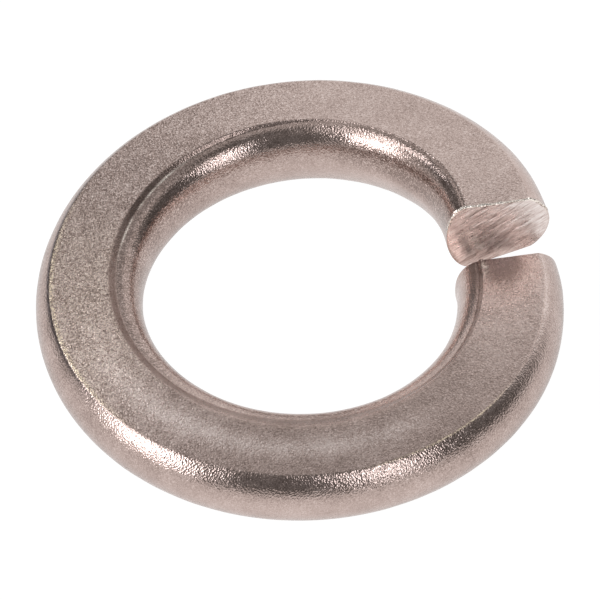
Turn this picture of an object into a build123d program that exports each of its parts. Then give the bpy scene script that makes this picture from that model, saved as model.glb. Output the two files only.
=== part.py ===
from build123d import *
from math import radians, tan
import os

os.makedirs("parts", exist_ok=True)

# A spring lock washer: flattened wire coiled on edge into a single left-hand turn and
# sheared off, so that its two ends stand one wire thickness apart. The bore runs along Z,
# the low end's face starts the turn on the +X axis, and its underside is at Z = 0.

# Ring
bore_radius = 8.075
outer_radius = 13.6
free_rise = 3.75  # what the wire climbs in one whole turn
end_gap = 1.8  # degrees of azimuth by which the turn falls short of a full one

# Wire section on a radial cut: two flat lands, with a rolled edge at either side
inner_land_radius = 9.7
outer_land_radius = 12.7
inner_land_thickness = 4.3  # coiling on edge thickens the inner side of the wire
outer_land_thickness = 3.47
bevel_radius = 9.3  # a narrow pressed bevel joins each land to the inner edge
bevel_thickness = 3.57
nose_radius = 7.85  # the inner edge as rolled, before the bore is sized

# Sheared low end
shear_lean = 3.0  # degrees by which its face leans back, from its bottom edge to its top
shear_overrun = 0.05  # how far the slanted cut runs past the end of the wire

mean_radius = (bore_radius + outer_radius) / 2
coil_height = free_rise * (360 - end_gap) / 360
section_middle = inner_land_thickness / 2  # height of the low end's section centre
washer_height = coil_height + inner_land_thickness


def wire_outline():
    """The wire's closed outline: radial distance from its middle on X, thickness on Y."""
    land_start = (inner_land_radius - mean_radius, inner_land_thickness / 2)
    land_end = (outer_land_radius - mean_radius, outer_land_thickness / 2)
    bevel_end = (bevel_radius - mean_radius, bevel_thickness / 2)
    Polyline(bevel_end, land_start, land_end)
    Polyline(*[(x, -y) for x, y in (land_end, land_start, bevel_end)])
    ThreePointArc(land_end, (outer_radius - mean_radius, 0), (land_end[0], -land_end[1]))
    ThreePointArc((bevel_end[0], -bevel_end[1]), (nose_radius - mean_radius, 0), bevel_end)


def low_end_offcut():
    """What the slanted shear cut takes off the low end, seen from the bore."""
    top = washer_height
    lean = top * tan(radians(shear_lean))
    Polyline((0, 0), (shear_overrun, 0), (shear_overrun, top), (-lean, top), close=True)


with BuildPart() as lock_washer:
    # The wire coils clockwise as it climbs from the low end to the high end
    with BuildLine(Plane.XY.offset(section_middle)):
        coil = Helix(pitch=free_rise, height=coil_height, radius=mean_radius, lefthand=True)
    with BuildSketch(Plane(origin=coil @ 0, x_dir=(1, 0, 0), z_dir=(0, -1, 0))):
        with BuildLine():
            wire_outline()
        make_face()
    sweep(path=coil, is_frenet=True)

    # The mandrel sizes the bore: it irons the inner nose to a true cylinder
    with Locations((0, 0, washer_height / 2)):
        Cylinder(bore_radius, 2 * washer_height, mode=Mode.SUBTRACT)

    # The low end's face leans back, cut by the shear right across the wire
    with BuildSketch(Plane.YZ):
        with BuildLine():
            low_end_offcut()
        make_face()
    extrude(amount=2 * outer_radius, mode=Mode.SUBTRACT)

lock_washer.part.label = "lock_washer"
export_step(lock_washer.part, "parts/lock_washer.step")
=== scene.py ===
import math

import bpy
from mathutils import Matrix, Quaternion, Vector, noise


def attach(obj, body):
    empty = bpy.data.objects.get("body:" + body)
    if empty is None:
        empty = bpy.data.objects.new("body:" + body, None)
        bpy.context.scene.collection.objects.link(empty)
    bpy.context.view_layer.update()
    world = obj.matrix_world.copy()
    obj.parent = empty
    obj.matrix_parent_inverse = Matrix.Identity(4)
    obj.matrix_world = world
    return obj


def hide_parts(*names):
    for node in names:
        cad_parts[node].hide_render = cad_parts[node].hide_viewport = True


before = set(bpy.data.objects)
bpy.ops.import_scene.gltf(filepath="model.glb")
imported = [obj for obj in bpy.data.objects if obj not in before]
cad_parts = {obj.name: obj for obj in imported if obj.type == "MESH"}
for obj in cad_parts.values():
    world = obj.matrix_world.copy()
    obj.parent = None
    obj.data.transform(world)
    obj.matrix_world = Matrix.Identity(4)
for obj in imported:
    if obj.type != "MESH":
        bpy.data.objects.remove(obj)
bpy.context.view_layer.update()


# ---------------------------------------------------------------------------------------
# The washer. One length of flattened stainless wire, coiled on edge round a mandrel into a
# single left-hand turn, sheared off at both ends and tumbled. Coiling has thickened its
# inner side, and the shear has rolled one end's lip over and left a burr on the other's.
# ---------------------------------------------------------------------------------------

MM = 0.001

mean_radius = 10.84 * MM
outer_radius = 13.6 * MM
nose_radius = 8.085 * MM
turn_angle = math.radians(358.2)
turn_rise = 3.731 * MM
turn_bulge = 0.15 * MM  # the middle of the turn stands this much above a true helix
low_end_height = 2.15 * MM  # middle of the wire at the low end

half_thickness = 2.15 * MM  # of the wire on its lands, at the radius below
half_thickness_radius = 9.7 * MM
land_taper = 0.1383  # how fast the lands close in towards the outside

section_points = 112  # points round the wire
turn_steps = 620  # steps from one end of the wire to the other
stations = 32  # steps between the places where the outline is worked out in full
curve_points = 120  # points on the nose and on the outer edge before they are spaced out
end_rings = 22  # shrinking rings that close each end, so that the shear marks have points


def land_height(radius):
    """Half the wire's thickness on its lands, which taper towards the outside."""
    return half_thickness - land_taper * (radius - half_thickness_radius)


def smooth_step(low, high, value):
    """0 below low, 1 above high, with a soft change from one to the other."""
    share = min(max((value - low) / (high - low), 0.0), 1.0)
    return share * share * (3 - 2 * share)


def near(value, middle, width, power=2):
    """1 at the middle, falling away to nothing over about the width on each side."""
    return math.exp(-((abs(value - middle) / width) ** power))


def wavy(x, y, z, seed):
    """Smooth noise between about -1 and 1."""
    return noise.noise(Vector((x + 17.3 * seed, y - 9.1 * seed, z + 4.7 * seed)))


def power_curve(start, tip, height, upper_power, lower_power):
    """A rolled edge from its top shoulder round the tip to its bottom shoulder. The lower
    the power, the flatter the slope between the tip and a shoulder."""
    outline = []
    for n in range(curve_points + 1):
        angle = math.pi * (0.5 - n / curve_points)
        power = upper_power if angle > 0 else lower_power
        across = max(math.cos(angle), 0.0) ** (2 / power)
        up = math.copysign(abs(math.sin(angle)) ** (2 / power), math.sin(angle))
        outline.append((start + (tip - start) * across, height * up))
    return outline


def round_edge(start, tip, height):
    """The outer edge, which the rolls left as part of a circle."""
    depth = tip - start
    radius = (height ** 2 + depth ** 2) / (2 * depth)
    reach = math.asin(height / radius)
    outline = []
    for n in range(curve_points + 1):
        angle = reach * (1 - 2 * n / curve_points)
        outline.append((tip - radius + radius * math.cos(angle), radius * math.sin(angle)))
    return outline


# Radius in mm of the land's inner edge, at places from the low end, 0, to the high end, 1
land_inner_edge = ((0, 9.38), (0.08, 9.5), (0.26, 9.86), (0.42, 9.76), (0.5, 9.68), (1, 9.18))

land_outer_edge = 12.69  # radius in mm, on average over the turn
land_outer_drift = 0.17  # in mm, how much further out it is at the middle than at the ends
bevel_radius = 9.3 * MM  # where the bevel inside the land meets the nose
bevel_height = 1.785 * MM
least_bevel = 0.04 * MM  # what is left of the bevel where the land reaches furthest in
whole_bevel_from = 9.75 * MM  # the bevel is whole where the land starts outside this radius
bevel_loss_reach = 0.4 * MM
nose_power = 2.2  # just fuller than an ellipse
flattening = 0.8  # taken off the power of the nose's lower half as the mandrel flattens it
end_recovery = 0.3  # given back at the high end


def edge_between(places, along):
    """A size blended between the two nearest of its given places along the turn."""
    for (a, size_a), (b, size_b) in zip(places, places[1:]):
        if along <= b:
            return size_a + (size_b - size_a) * (along - a) / (b - a)


def rolled_outline(along):
    """The wire's outline at one place along the turn, from 0 at the low end to 1 at the
    high, with its corners and the radius of the land's inner and outer edge."""
    land_inner = edge_between(land_inner_edge, along) * MM
    land_outer = (land_outer_edge - land_outer_drift * ((2 * along - 1) ** 2 - 0.33)) * MM
    bevel_end = bevel_radius
    if land_inner < bevel_end + least_bevel:
        bevel_end = land_inner - least_bevel
    lost = min(max((whole_bevel_from - land_inner) / bevel_loss_reach, 0.0), 1.0)
    shoulder = bevel_height
    shoulder += (land_height(bevel_end) - least_bevel - shoulder) * lost ** 2
    lower_power = nose_power - flattening * smooth_step(0.54, 0.88, along)
    lower_power += end_recovery * smooth_step(0.92, 1, along)
    curled_in = power_curve(bevel_end, nose_radius, shoulder, nose_power, lower_power)
    rim = round_edge(land_outer, outer_radius, land_height(land_outer))
    under = [(land_outer, -land_height(land_outer)), (land_inner, -land_height(land_inner))]
    above = [(bevel_end, shoulder), (land_inner, land_height(land_inner))]
    path = rim[:-1] + under + curled_in[::-1][:-1] + above
    corners = [*under, *above, (bevel_end, -shoulder), (land_outer, land_height(land_outer))]
    return path, corners, (land_inner, land_outer)


def even_points(path, step):
    """Points at an even step along a closed outline."""
    closed = path + path[:1]
    points = []
    left = 0.0
    for (r0, z0), (r1, z1) in zip(closed, closed[1:]):
        length = math.hypot(r1 - r0, z1 - z0)
        gone = left
        while gone < length:
            share = gone / length
            points.append((r0 + (r1 - r0) * share, z0 + (z1 - z0) * share))
            gone += step
        left = gone - length
    return points


def rubbed(points, reach, step):
    """The outline's points averaged with their neighbours, as tumbling rubs a crease round."""
    span = int(2.5 * reach / step)
    weights = [math.exp(-((n * step / reach) ** 2)) for n in range(-span, span + 1)]
    total = sum(weights)
    count = len(points)
    smoothed = []
    for n in range(count):
        radius = height = 0.0
        for k, weight in enumerate(weights):
            r, z = points[(n + k - span) % count]
            radius += weight * r
            height += weight * z
        smoothed.append((radius / total, height / total))
    return smoothed


fine_step = 0.01 * MM
crease_rub = 0.055  # in mm, how far tumbling has rubbed every crease round
front_rub = 0.25  # in mm, added on the inner side of the turn's front
front_place = 0.27  # along the turn
front_reach = 0.11
front_rub_radius = 10.6 * MM  # outside this the added rubbing fades away
front_rub_fade = 0.8 * MM
crease_width = 0.13 * MM
crease_need = 4.5  # how much closer the points stand at a crease


def worn_outline(along):
    """The outline with its creases rubbed round, its points set closest at the creases."""
    path, corners, land_edges = rolled_outline(along)
    fine = even_points(path, fine_step)
    soft_reach = (crease_rub + front_rub * near(along, front_place, front_reach, 4)) * MM
    soft = rubbed(fine, soft_reach, fine_step)
    sharp = rubbed(fine, crease_rub * MM, fine_step)
    smoothed = []
    for (r0, z0), (r1, z1) in zip(sharp, soft):
        share = 1 - min(max((r0 - front_rub_radius) / front_rub_fade, 0.0), 1.0)
        smoothed.append((r0 + (r1 - r0) * share, z0 + (z1 - z0) * share))
    needs = []
    for r, z in smoothed:
        to_corner = min(math.hypot(r - c[0], z - c[1]) for c in corners)
        needs.append(1 + crease_need * near(to_corner, 0, crease_width))
    whole = sum(needs)
    chosen = []
    gone = 0.0
    for n, need in enumerate(needs):
        while len(chosen) < section_points and gone + need > len(chosen) * whole / section_points:
            share = (len(chosen) * whole / section_points - gone) / need
            r0, z0 = smoothed[n]
            r1, z1 = smoothed[(n + 1) % len(smoothed)]
            chosen.append((r0 + (r1 - r0) * share, z0 + (z1 - z0) * share))
        gone += need
    return chosen, land_edges


station_outlines = [worn_outline(n / stations) for n in range(stations + 1)]


def outline_at(along):
    """The worn outline and the land's two edges, blended between the nearest stations."""
    station = min(along * stations, stations - 1e-6)
    n = int(station)
    share = station - n
    (before, edges_before), (after, edges_after) = station_outlines[n], station_outlines[n + 1]
    points = [
        (a[0] + (b[0] - a[0]) * share, a[1] + (b[1] - a[1]) * share)
        for a, b in zip(before, after)
    ]
    edges = [a + (b - a) * share for a, b in zip(edges_before, edges_after)]
    return points, edges


# The steps along the wire are a quarter as long at its ends, over about seven steps
step_lengths = [
    1 - 0.75 * near(min(n, turn_steps - 1 - n), 0, 7) for n in range(turn_steps)
]


def ring_place(n):
    """How far along the turn the nth ring of points stands."""
    return sum(step_lengths[:n]) / sum(step_lengths)


# The wire's outline is drawn as a ring of points on edge and coiled round the bore's axis
bpy.ops.object.select_all(action="DESELECT")
bpy.ops.mesh.primitive_circle_add(
    vertices=section_points,
    radius=2 * MM,
    location=(mean_radius, 0, low_end_height),
    rotation=(math.pi / 2, 0, 0),
)
washer = bpy.context.object
washer.name = "washer"
bpy.ops.object.transform_apply(location=True, rotation=True, scale=True)
coil = washer.modifiers.new("coil", "SCREW")
coil.axis = "Z"
coil.angle = -turn_angle
coil.screw_offset = turn_rise
coil.steps = turn_steps
coil.render_steps = turn_steps
coil.use_merge_vertices = False
coil.use_smooth_shade = True
bpy.ops.object.modifier_apply(modifier="coil")
mesh = washer.data


def close_end(first):
    """Closes the wire's open end, whose ring of points starts at the vertex first, with
    rings that shrink to its middle, and gives the vertex that each new ring starts at."""
    count = len(mesh.vertices)
    for element in (*mesh.vertices, *mesh.edges, *mesh.polygons):
        element.select = False
    middle = Vector((0, 0, 0))
    for n in range(section_points):
        mesh.vertices[first + n].select = True
        middle += mesh.vertices[first + n].co / section_points
    bpy.ops.object.mode_set(mode="EDIT")
    bpy.ops.mesh.select_mode(type="VERT")
    for ring in range(1, end_rings):
        kept = (end_rings - ring) / (end_rings - ring + 1)
        bpy.ops.mesh.extrude_edges_move()
        bpy.ops.transform.resize(value=(kept, kept, kept), center_override=middle)
    bpy.ops.mesh.edge_face_add()
    bpy.ops.mesh.poke()
    bpy.ops.object.mode_set(mode="OBJECT")
    return [count + section_points * ring for ring in range(end_rings)]


low_rings = close_end(0)
high_rings = close_end(section_points * turn_steps)

# The vertices take the rolled outline, the flare of the ends, the shear's lean and its marks
wire_middle = 10.9 * MM
wire_width = 5.5 * MM
wire_thickness = 4 * MM
flare_reach = math.radians(12)
low_flare = 0.11 * MM  # the low end springs outwards
high_flare = 0.19 * MM  # the high end springs inwards
lean_reach = math.radians(7)
low_lean = 0.6  # degrees of the turn that the low face's middle is set back
low_skew = 1.3  # degrees between the low face's inner and outer side
low_tilt = 0.95  # degrees between the low face's bottom and top
high_skew = 1.12  # degrees between the high face's inner and outer side
swelling = 0.006  # shares of the thickness, and a distance, by which the surface is uneven
ripple = 0.0025
runout = 0.010 * MM
torn_ridge_radius = 9.6 * MM
torn_ridge_height = 0.09 * MM
rolled_lip_drop = 0.06 * MM
burr_height = 0.085 * MM
burr_setback = 0.075 * MM
burr_spread = 3.2 * MM


def wire_point(along, radius, height):
    """Where a point of the wire lies: its place along the turn, its radius and its height
    above the wire's middle."""
    from_low = along * turn_angle
    from_high = (1 - along) * turn_angle
    outward = (radius - wire_middle) / wire_width
    lean_low = math.radians(low_lean + low_skew * outward - low_tilt * height / wire_thickness)
    lean_high = math.radians(high_skew * outward)
    angle = -from_low
    angle += lean_low * math.exp(-from_low / lean_reach)
    angle += lean_high * math.exp(-from_high / lean_reach)
    radius += low_flare * near(from_low, 0, flare_reach)
    radius -= high_flare * near(from_high, 0, flare_reach)
    middle = low_end_height + turn_rise * along + turn_bulge * 4 * along * (1 - along)
    # Rolling and tumbling leave the surface a little uneven
    x = math.cos(angle) * radius / MM
    y = math.sin(angle) * radius / MM
    z = (middle + height) / MM
    height *= 1 + swelling * wavy(x * 0.9, y * 0.9, z * 0.9, 1)
    height *= 1 + ripple * wavy(x * 2.3, y * 2.3, z * 2.3, 2)
    radius += runout * wavy(x * 0.8, y * 0.8, z * 1.5, 3)
    # The shear rolls the low end's upper lip over and drags up a thin burr on the high end's
    arc_low = from_low * radius
    arc_high = from_high * radius
    top = smooth_step(0.8 * MM, 1.7 * MM, height)
    pushed = near(radius, torn_ridge_radius, 0.12 * MM) * math.exp(-arc_low / (0.9 * MM))
    height += top * torn_ridge_height * pushed
    height -= top * rolled_lip_drop * math.exp(-arc_low / (0.28 * MM))
    ragged = 0.75 + 1.1 * wavy(radius / MM * 3.4, height / MM * 2.0, 0, 5)
    burr = smooth_step(0.2 * MM, 1.1 * MM, height) * ragged * burr_height
    burr *= near(arc_high, burr_setback, 0.05 * MM)
    height += burr * height / (wire_thickness / 2)
    radius += burr * (radius - wire_middle) / burr_spread
    return Vector((math.cos(angle) * radius, math.sin(angle) * radius, middle + height))


def finish_at(along, radius, height, land_inner, land_outer):
    """The share of each finish at one place on the wire's skin, painted light and shade among
    them. Most run from 0 to 1, but gritty may pass 1, and the painted sheen and shade is below 0
    where it darkens."""
    arc_low = along * turn_angle * radius
    arc_high = (1 - along) * turn_angle * radius
    top = smooth_step(0, 1.2 * MM, height)
    blur = 0.05 * MM
    past_inner = smooth_step(land_inner - blur, land_inner + blur, radius)
    past_outer = smooth_step(land_outer - blur, land_outer + blur, radius)
    land = past_inner * (1 - past_outer)
    nose = 1 - smooth_step(9.2 * MM, 9.35 * MM, radius)
    nose *= smooth_step(-0.3 * MM, 0.9 * MM, height) * (1 - 0.8 * near(along, 0, 0.1))
    # The bevel strip between the land's inner edge and the nose is darkened below as painted
    # shade
    fade = (0.07 + 0.33 * near(along, 0.25, 0.13, 4)) * MM
    bevel = smooth_step(9.22 * MM, 9.34 * MM, radius)
    bevel *= 1 - smooth_step(land_inner - fade, land_inner + fade, radius)
    bevel *= smooth_step(9.15 * MM, 9.35 * MM, land_inner)
    # Beside the low cut the land is painted dark as shade, a dark reflection of the high end, and
    # its torn inner edge carries painted glints
    scuff = near(radius, 10.45 * MM, 0.9 * MM) * near(arc_low, 0.3 * MM, 1.25 * MM)
    torn = near(radius, 9.58 * MM, 0.11 * MM) * near(arc_low, 0.6 * MM, 0.55 * MM)
    torn *= max(0.0, 0.9 + 2.0 * wavy(arc_low / MM * 7, radius / MM * 7, 0, 12))
    # Painted highlight along the high end's burr
    burr = smooth_step(0.2 * MM, 1.1 * MM, height) * near(arc_high, 0, 0.085 * MM)
    # A painted highlight runs along the bevel's inner corner on one stretch of the turn
    painted_highlight_line = near(radius, 9.28 * MM, 0.04 * MM) * near(along, 0.62, 0.06, 4)
    painted_highlight_line *= max(0.0, 0.8 + 1.2 * wavy(along * 90, 0, 0, 14))
    # On the left of the turn a painted dark reflection runs just outside the outer crease, with
    # painted glints in the grains beside it
    painted_dark_line = near(radius, land_outer + 0.07 * MM, 0.065 * MM) * near(along, 0.54, 0.10, 4)
    grains = near(radius, land_outer - 0.07 * MM, 0.12 * MM) + 0.2 * past_inner
    gilt = grains * (1 - past_outer) * near(along, 0.5, 0.09, 4)
    # A painted reflection draws a thin golden line along the outer crease at the front
    gilt += 1.1 * near(radius, land_outer, 0.045 * MM) * near(along, 0.18, 0.05, 4)
    # Painted sheen lightens the front of the land along its middle and painted shade darkens it
    # beside
    #     # that; near the low end a painted reflection lightens a strip just outside the land's
    #     outer edge
    worn = near(radius, 11.15 * MM, 0.6 * MM) * near(along, 0.32, 0.14, 4)
    worn -= 0.42 * land * near(along, 0.25, 0.16, 4)
    worn += 0.7 * near(radius, land_outer + 0.13 * MM, 0.1 * MM) * near(along, 0.07, 0.1, 4)
    gritty = near(along, 0.58, 0.19, 4) + 0.8 * past_outer * near(along, 0.1, 0.12, 4)
    gritty += 1.4 * nose * near(along, 0.93, 0.1, 4)
    gritty += 1.1 * past_outer * top * near(along, 0.27, 0.13, 4)
    return {
        "land": land,
        "nose": nose,
        "lip": min(1.0, torn * top + burr + 0.8 * painted_highlight_line * top),
        "bevel": bevel,
        "scuff": scuff * top,
        "crease": painted_dark_line * top,
        "gilt": gilt * top,
        "worn": worn * top,
        "gritty": gritty,
    }


finish_names = (
    "land", "nose", "sheared", "lip", "bevel", "scuff", "crease", "gilt", "worn", "gritty",
)
shares = {name: [0.0] * len(mesh.vertices) for name in finish_names}
ring_outlines = []
for n in range(turn_steps + 1):
    along = ring_place(n)
    outline, land_edges = outline_at(along)
    ring_outlines.append(outline)
    for k, (radius, height) in enumerate(outline):
        index = n * section_points + k
        mesh.vertices[index].co = wire_point(along, radius, height)
        for name, amount in finish_at(along, radius, height, *land_edges).items():
            shares[name][index] = amount

tear_turn = (math.radians(75), math.radians(38))  # way of the tears on the low and high face
broad_depth = 0.012  # in mm
rib_depth = 0.02
tear_depth = 0.03
rim_share = 0.12  # the tears begin over this share of the way in from the face's rim


def shear_mark(across, up, end):
    """How far the shear has torn the face back at one place, in metres."""
    with_tears = across * math.cos(tear_turn[end]) + up * math.sin(tear_turn[end])
    over_tears = up * math.cos(tear_turn[end]) - across * math.sin(tear_turn[end])
    over_tears += 0.05 * with_tears * with_tears
    broad = wavy(with_tears * 0.35, over_tears * 1.6, 0, 6 + end)
    ribs = wavy(with_tears * 0.5, over_tears * 4.5, 0, 8 + end)
    torn = max(0.0, wavy(with_tears * 1.2, over_tears * 2.4, 3, 10 + end) - 0.15)
    return (broad_depth * broad + rib_depth * ribs + tear_depth * torn) * MM


for end, rings in ((0, low_rings), (1, high_rings)):
    outline = ring_outlines[turn_steps * end]
    face_middle = sum(radius for radius, height in outline) / section_points
    for ring, start in enumerate(rings, 1):
        kept = 1 - ring / end_rings
        settle = smooth_step(0, rim_share, ring / end_rings)
        for k in range(section_points if ring < end_rings else 1):
            radius = face_middle + (outline[k][0] - face_middle) * kept
            height = outline[k][1] * kept
            spot = wire_point(float(end), radius, height)
            tangent = Vector((spot.y, -spot.x, 0)).normalized()
            depth = shear_mark((radius - face_middle) / MM, height / MM, end)
            mesh.vertices[start + k].co = spot - tangent * depth * settle
            shares["sheared"][start + k] = 1.0
            # Painted shade darkens the lower middle of the high end's face
            painted_face_shade = near(radius, 10.7 * MM, 1.0 * MM) * near(height, -1.2 * MM, 0.55 * MM)
            shares["scuff"][start + k] = painted_face_shade * end
    for k in range(section_points):
        shares["sheared"][turn_steps * end * section_points + k] = 0.5
mesh.update()

bpy.ops.object.mode_set(mode="EDIT")
bpy.ops.mesh.select_all(action="SELECT")
bpy.ops.mesh.normals_make_consistent(inside=False)
bpy.ops.object.mode_set(mode="OBJECT")
bpy.ops.object.shade_smooth_by_angle(angle=math.radians(55))

for name, amounts in shares.items():
    layer = mesh.attributes.new(name, "FLOAT", "POINT")
    layer.data.foreach_set("value", amounts)


class Value:
    """A socket of a node tree that can be written in sums."""

    def __init__(self, tree, socket):
        self.tree = tree
        self.socket = socket

    def math(self, operation, *others):
        """A Math node of this value and the others."""
        return self.tree.node("ShaderNodeMath", {"operation": operation}, [self, *others])

    def __add__(self, other):
        return self.math("ADD", other)

    def __sub__(self, other):
        return self.math("SUBTRACT", other)

    def __mul__(self, other):
        return self.math("MULTIPLY", other)

    def __rsub__(self, other):
        return self.tree.node("ShaderNodeMath", {"operation": "SUBTRACT"}, [other, self])

    __radd__ = __add__
    __rmul__ = __mul__

    def between(self, low, high):
        """0 below low, 1 above high, with a soft change from one to the other."""
        settings = {"interpolation_type": "SMOOTHSTEP"}
        return self.tree.node("ShaderNodeMapRange", settings, {0: self, 1: low, 2: high})


class Finish:
    """A node tree that is filled by one method."""

    def __init__(self, tree):
        self.tree = tree
        tree.nodes.clear()

    def node(self, kind, settings=None, inputs=None, output=0):
        """Adds a node, sets it, gives its sockets their values or links, and returns one of
        its outputs."""
        made = self.tree.nodes.new(kind)
        for name, setting in (settings or {}).items():
            if name == "stops":
                ramp = made.color_ramp.elements
                while len(ramp) < len(setting):
                    ramp.new(0.5)
                for element, (place, colour) in zip(ramp, setting):
                    element.position = place
                    element.color = (*colour, 1)
            else:
                setattr(made, name, setting)
        named = inputs.items() if isinstance(inputs, dict) else enumerate(inputs or [])
        for name, value in named:
            if isinstance(value, Value):
                self.tree.links.new(value.socket, made.inputs[name])
            else:
                made.inputs[name].default_value = value
        return Value(self, made.outputs[output]) if made.outputs else None

    def paint(self, under, over, share):
        """One colour laid over another, by a share from 0 to 1."""
        inputs = {0: share, 6: under, 7: over}
        return self.node("ShaderNodeMix", {"data_type": "RGBA"}, inputs, 2)


steel = bpy.data.materials.new("stainless_steel")
steel.use_nodes = True
tree = Finish(steel.node_tree)
on_piece = tree.node("ShaderNodeTexCoord", output="Object")


def share_of(name):
    """The share of one finish, which the mesh carries."""
    return tree.node("ShaderNodeAttribute", {"attribute_name": name}, output="Fac")


def mottle(size, detail, rough, stretch=None):
    """Noise whose lumps are about as large as size, in metres, from 0 to 1 about 0.5."""
    where = on_piece
    if stretch:
        settings = {"vector_type": "TEXTURE"}
        where = tree.node("ShaderNodeMapping", settings, {"Vector": on_piece, **stretch})
    inputs = {"Vector": where, "Scale": 1 / size, "Detail": detail, "Roughness": rough}
    return tree.node("ShaderNodeTexNoise", {}, inputs)


land, nose, sheared, lip, bevel, scuff, crease, gilt, worn, gritty = map(share_of, finish_names)

pits = mottle(size=0.075 * MM, detail=1.0, rough=0.6)
grains = mottle(size=0.16 * MM, detail=2.0, rough=0.6)
patches = mottle(size=1.3 * MM, detail=3.0, rough=0.6)
clouds = mottle(size=5.0 * MM, detail=2.0, rough=0.5)

shear_turn = {"Rotation": (0, math.radians(-27), 0), "Scale": (7.0, 1.0, 1.0)}
scores = mottle(size=0.17 * MM, detail=3.0, rough=0.6, stretch=shear_turn)
fine_scores = mottle(size=0.08 * MM, detail=2.0, rough=0.6, stretch=shear_turn)

# Tumbling has dimpled the skin all over, and the cut faces have scores in place of dimples
dimple_size = 0.10 * MM
dimple_depth = 0.025 * MM
dimples = tree.node(
    "ShaderNodeTexVoronoi",
    {"feature": "F1"},
    {"Vector": on_piece, "Scale": 1 / dimple_size, "Randomness": 1.0},
    "Distance",
)
lumps = dimples * 0.55 + pits * 0.35 + grains * 0.2
relief = lumps * (1 - sheared * 0.8 + lip * 1.5 - nose * 0.25) + scores * sheared * 2.0
bump = tree.node(
    "ShaderNodeBump", {}, {"Height": relief, "Strength": 1.0, "Distance": dimple_depth}
)

deep_steel = (0.27, 0.20, 0.175)
plain_steel = (0.56, 0.438, 0.397)
pale_steel = (0.90, 0.77, 0.72)
speckle = (pits - 0.5) * 1.3 + (grains - 0.5) * 0.6
speckle = speckle * (land * 0.6 + nose * 0.25 + 0.4) * (gritty * 1.1 + 1)
# Painted shade darkens the bevel strip and the places of the painted shade
painted_darkening = bevel * 0.30 + scuff * 1.7 * (patches + 0.4)
# Painted sheen and shade lighten and darken the tone
tone = (patches - 0.5) * 0.4 + (clouds - 0.5) * 0.25 + speckle + worn * 0.4 + 0.5
# The nose's upper part is darkened a little as painted shade, a dark reflection between its
# highlights
tone = tone - gritty * 0.16 - nose * 0.1 - painted_darkening
steel_stops = [(0.0, deep_steel), (0.5, plain_steel), (1.0, pale_steel)]
skin_colour = tree.node("ShaderNodeValToRGB", {"stops": steel_stops}, {0: tone})

deep_score = (0.30, 0.23, 0.21)
torn_steel = (0.78, 0.66, 0.62)
bright_score = (0.97, 0.89, 0.85)
score_tone = (scores - 0.5) * 1.4 + (fine_scores - 0.5) * 1.6 + (patches - 0.5) * 0.3
# The cut faces are darkened by the painted shade too
score_tone = score_tone + 0.64 - scuff * 0.14
score_stops = [(0.0, deep_score), (0.5, torn_steel), (1.0, bright_score)]
torn_colour = tree.node("ShaderNodeValToRGB", {"stops": score_stops}, {0: score_tone})

# The dark of the painted reflection along the outer crease
painted_reflection_dark = (0.10, 0.08, 0.09, 1)
# The gold of the painted glints
painted_glint_gold = (1.0, 0.84, 0.63, 1)
# The pale colour of the painted highlights on the burr, the torn edge and the bevel corner
painted_lip_highlight = (1.0, 0.91, 0.82, 1)
# Painted dark reflection along the outer crease and painted shade are laid over the skin's colour
with_painted_darks = tree.paint(skin_colour, painted_reflection_dark, crease * 0.85 + scuff * 0.35)
# Painted glints are laid over it in golden specks
with_painted_glints = tree.paint(with_painted_darks, painted_glint_gold, gilt * pits.between(0.4, 0.62))
with_ends = tree.paint(with_painted_glints, torn_colour, sheared)
# Painted highlights are laid along the burr, the torn edge and the bevel's inner corner
whole_colour = tree.paint(with_ends, painted_lip_highlight, lip)

rubbed_roughness = 0.19
roughness = rubbed_roughness + (patches - 0.5) * 0.1 + land * 0.09 + (grains - 0.5) * 0.12
roughness = roughness + sheared * 0.1 + bevel * 0.1 - lip * 0.08 - nose * 0.03
surface = tree.node(
    "ShaderNodeBsdfPrincipled",
    {},
    {"Base Color": whole_colour, "Metallic": 1.0, "Roughness": roughness, "Normal": bump},
)
tree.node("ShaderNodeOutputMaterial", {}, {"Surface": surface})

mesh.materials.clear()
mesh.materials.append(steel)
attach(washer, "root")
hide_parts("lock_washer")


# ---------------------------------------------------------------------------------------
# The studio. A white tabletop in a pale room that has a few dimmer and brighter patches. Two
# softboxes light it from the left, a leaning one low down and a broad one high up, and a
# narrow upright one lights it from the right.
# ---------------------------------------------------------------------------------------

camera_azimuth = math.radians(-96.7)


def direction(azimuth, elevation):
    """The way to a place in the room. Azimuth 0 is over the camera, and left is negative."""
    turn = camera_azimuth + math.radians(azimuth)
    rise = math.radians(elevation)
    return Vector(
        (math.cos(turn) * math.cos(rise), math.sin(turn) * math.cos(rise), math.sin(rise))
    )


# The tabletop glows white to the camera and a little less to reflections, and keeps shadows
tabletop_width = 8
card_grey = 0.85
glow_strength = 1.08
seen_glow = 0.9
mirrored_glow = 0.7

bpy.ops.mesh.primitive_plane_add(size=tabletop_width, location=(0, 0, 0))
tabletop = bpy.context.object
tabletop.name = "tabletop"
white = bpy.data.materials.new("tabletop_white")
white.use_nodes = True
tree = Finish(white.node_tree)
seen = tree.node("ShaderNodeLightPath", output="Is Camera Ray") * seen_glow
mirrored = tree.node("ShaderNodeLightPath", output="Is Glossy Ray") * mirrored_glow
through_glass = tree.node("ShaderNodeLightPath", output="Is Transmission Ray") * seen_glow
glowing = seen.math("MAXIMUM", mirrored).math("MAXIMUM", through_glass)
card = tree.node("ShaderNodeBsdfDiffuse", {}, {"Color": (card_grey, card_grey, card_grey, 1)})
glow = tree.node("ShaderNodeEmission", {}, {"Color": (1, 1, 1, 1), "Strength": glow_strength})
card_and_glow = tree.node("ShaderNodeMixShader", {}, {0: glowing, 1: card, 2: glow})
tree.node("ShaderNodeOutputMaterial", {}, {"Surface": card_and_glow})
tabletop.data.materials.append(white)

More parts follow.
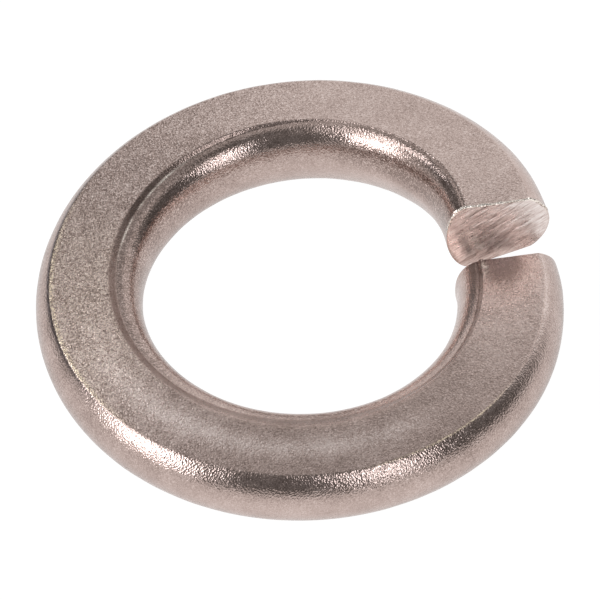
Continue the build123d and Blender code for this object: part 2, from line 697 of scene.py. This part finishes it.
room = bpy.data.worlds.new("room")
room.use_nodes = True
bpy.context.scene.world = room
tree = Finish(room.node_tree)
towards = tree.node("ShaderNodeTexCoord", output="Generated")
wall_grey = 0.72
room_patches = (
    # grey, middle azimuth, middle elevation, where it ends and where it is full, in degrees
    (0.18, 0, 80, 30, 12),
    (0.95, 138, 22, 40, 18),
    (0.20, -134, 26, 38, 18),
    (0.42, 158, 57, 23, 9),
    (0.16, 72, 20, 44, 26),
    (0.18, -6, 28, 44, 24),
    (0.95, 180, 34, 24, 8),
)
level = wall_grey
for grey, azimuth, elevation, edge, full in room_patches:
    way = direction(azimuth, elevation)
    facing = tree.node(
        "ShaderNodeVectorMath", {"operation": "DOT_PRODUCT"}, [towards, way], output="Value"
    )
    inside = facing.between(math.cos(math.radians(edge)), math.cos(math.radians(full)))
    level = level + inside * (grey - level)
# Low down the room fades to white, so that no line shows where it meets the tabletop
upward = tree.node("ShaderNodeSeparateXYZ", {}, [towards], output="Z")
horizon = 1 - upward.between(0.035, 0.07)
level = level + horizon * (1 - level)
room_colour = tree.node("ShaderNodeCombineColor", {}, [level, level, level])
background = tree.node("ShaderNodeBackground", {}, {"Color": room_colour, "Strength": 1.0})
tree.node("ShaderNodeOutputWorld", {}, {"Surface": background})

lamp_colour = (0.93, 0.96, 1.0)
lamp_distance = 0.9


def softbox(name, azimuth, elevation, wide, tall, radiance, lean=0.0):
    """A soft lamp that faces the washer, its sides given as degrees of the room it fills."""
    lamp = bpy.data.lights.new(name, "AREA")
    lamp.shape = "RECTANGLE"
    lamp.color = lamp_colour
    lamp.size = 2 * lamp_distance * math.tan(math.radians(wide / 2))
    lamp.size_y = 2 * lamp_distance * math.tan(math.radians(tall / 2))
    lamp.energy = radiance * math.pi * lamp.size * lamp.size_y
    box = bpy.data.objects.new(name, lamp)
    bpy.context.collection.objects.link(box)
    way = direction(azimuth, elevation)
    box.location = way * lamp_distance
    turn = way.to_track_quat("Z", "Y")
    turn.rotate(Quaternion(way, math.radians(lean)))
    box.rotation_mode = "QUATERNION"
    box.rotation_quaternion = turn
    box.visible_camera = False


softbox("softbox_left_low", -64, 28, wide=21, tall=34, radiance=5.6, lean=20)
softbox("softbox_left_high", -103, 54, wide=38, tall=16, radiance=3.2)
softbox("softbox_right", 34, 34, wide=14, tall=42, radiance=3.8, lean=-6)


# ---------------------------------------------------------------------------------------
# The camera. A long lens stands high in front of the washer, with the gap at its right, and
# looks down at the middle of the bore, turned a little about the line of sight.
# ---------------------------------------------------------------------------------------

camera_elevation = 48.386
camera_distance = 186.26 * MM
camera_roll = math.radians(5.174)
swing_centre = Vector((0, 0, 4.12 * MM))
aim = Vector((0.06 * MM, 0, 3.66 * MM))

lens = bpy.data.cameras.new("camera")
lens.sensor_width = 36
lens.lens = 216.48
lens.clip_start = 0.01
lens.clip_end = 20
camera = bpy.data.objects.new("camera", lens)
bpy.context.collection.objects.link(camera)
bpy.context.scene.camera = camera
back = direction(0, camera_elevation)
camera.location = swing_centre + back * camera_distance
camera.rotation_mode = "QUATERNION"
looking = (aim - camera.location).to_track_quat("-Z", "Y")
looking.rotate(Quaternion(back, -camera_roll))
camera.rotation_quaternion = looking

bpy.context.scene.view_settings.view_transform = "Standard"
